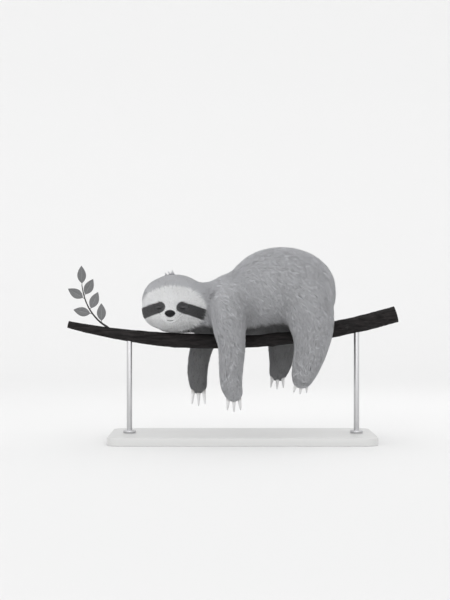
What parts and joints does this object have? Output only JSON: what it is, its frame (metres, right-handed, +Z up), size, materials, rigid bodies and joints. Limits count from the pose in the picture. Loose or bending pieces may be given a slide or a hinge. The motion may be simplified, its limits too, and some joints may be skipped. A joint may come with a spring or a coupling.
{
  "type": "three-toed sloth",
  "caption": "Life-size three-toed sloth asleep over a short cut length of branch, limbs hanging and face turned aside, on a plain display stand.",
  "frame": {"origin": "middle of the model's box, at the underside of the stand's base", "axes": "+X along the branch towards its thick end, with the animal's body facing -X; its face is turned to look along -Y; +Z up"},
  "size_m": [0.7292, 0.24, 0.4277],
  "materials": {
    "coat": "coarse grey fur",
    "bare_skin": "dark leathery skin, slightly moist on the nose",
    "claw": "smooth pale horn",
    "bark": "near-black bark",
    "leaf": "satin grey leaf",
    "lacquer": "pale satin lacquer",
    "steel": "brushed"
  },
  "bodies": {
    "root": {"branch": "bark", "claw_foot_left_1": "claw", "claw_foot_left_2": "claw", "claw_foot_left_3": "claw", "claw_foot_right_1": "claw", "claw_foot_right_2": "claw", "claw_foot_right_3": "claw", "claw_hand_left_1": "claw", "claw_hand_left_2": "claw", "claw_hand_left_3": "claw", "claw_hand_right_1": "claw", "claw_hand_right_2": "claw", "claw_hand_right_3": "claw", "eye_left": "bare_skin", "eye_right": "bare_skin", "foot_left": "coat", "foot_right": "coat", "forearm_left": "coat", "forearm_right": "coat", "hand_left": "coat", "hand_right": "coat", "head": "coat", "leaf_1": "leaf", "leaf_2": "leaf", "leaf_3": "leaf", "leaf_4": "leaf", "leaf_5": "leaf", "leaf_6": "leaf", "neck": "coat", "nose": "bare_skin", "shin_left": "coat", "shin_right": "coat", "stand_base": "lacquer", "stand_collar_1": "steel", "stand_collar_2": "steel", "stand_rod_1": "steel", "stand_rod_2": "steel", "tail": "coat", "thigh_left": "coat", "thigh_right": "coat", "trunk": "coat", "twig": "bark", "upper_arm_left": "coat", "upper_arm_right": "coat"}
  },
  "joints": []
}
